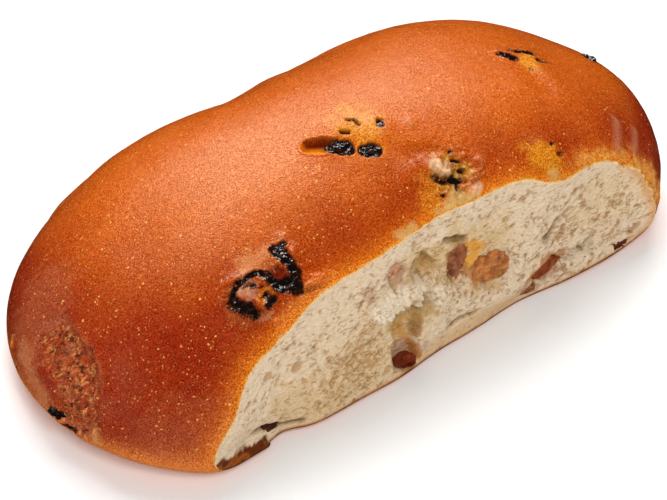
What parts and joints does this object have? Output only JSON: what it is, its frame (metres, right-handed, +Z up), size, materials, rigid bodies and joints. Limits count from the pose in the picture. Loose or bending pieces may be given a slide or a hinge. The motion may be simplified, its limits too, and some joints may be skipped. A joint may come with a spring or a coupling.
{
  "type": "raisin bun",
  "caption": "Long soft raisin bun with a glossy browned crust, one long side pulled away to show torn pale crumb, and raisins set in crust and crumb.",
  "frame": {"origin": "middle of the bun's footprint, on the flat sole", "axes": "+X along the length, -Y out of the torn side, +Z up"},
  "size_m": [0.1516, 0.0758, 0.0462],
  "materials": {
    "crust": "glossy egg-washed bread crust, with matte torn crumb on one side",
    "baked_raisin": "dark shiny wrinkled raisin skin",
    "soft_raisin": "moist brown raisin flesh and skin"
  },
  "bodies": {
    "root": {"bun": "crust", "raisin_shoulder_upper": "baked_raisin", "raisin_shoulder_lower": "baked_raisin", "raisin_split_left": "baked_raisin", "raisin_split_right": "baked_raisin", "raisin_burst": "baked_raisin", "raisin_far_left": "baked_raisin", "raisin_far_right": "baked_raisin", "raisin_end_top": "baked_raisin", "raisin_golden": "baked_raisin", "raisin_scar_foot": "baked_raisin", "raisin_left_edge": "baked_raisin", "raisin_back_left": "baked_raisin", "raisin_back_middle": "baked_raisin", "raisin_back_right": "baked_raisin", "raisin_torn_left": "soft_raisin", "raisin_torn_right": "soft_raisin", "raisin_pocket": "soft_raisin", "raisin_base_long": "soft_raisin", "raisin_base_short": "soft_raisin", "raisin_far_foot": "soft_raisin", "raisin_veiled": "soft_raisin", "raisin_scrap": "soft_raisin", "raisin_notch": "soft_raisin"}
  },
  "joints": []
}
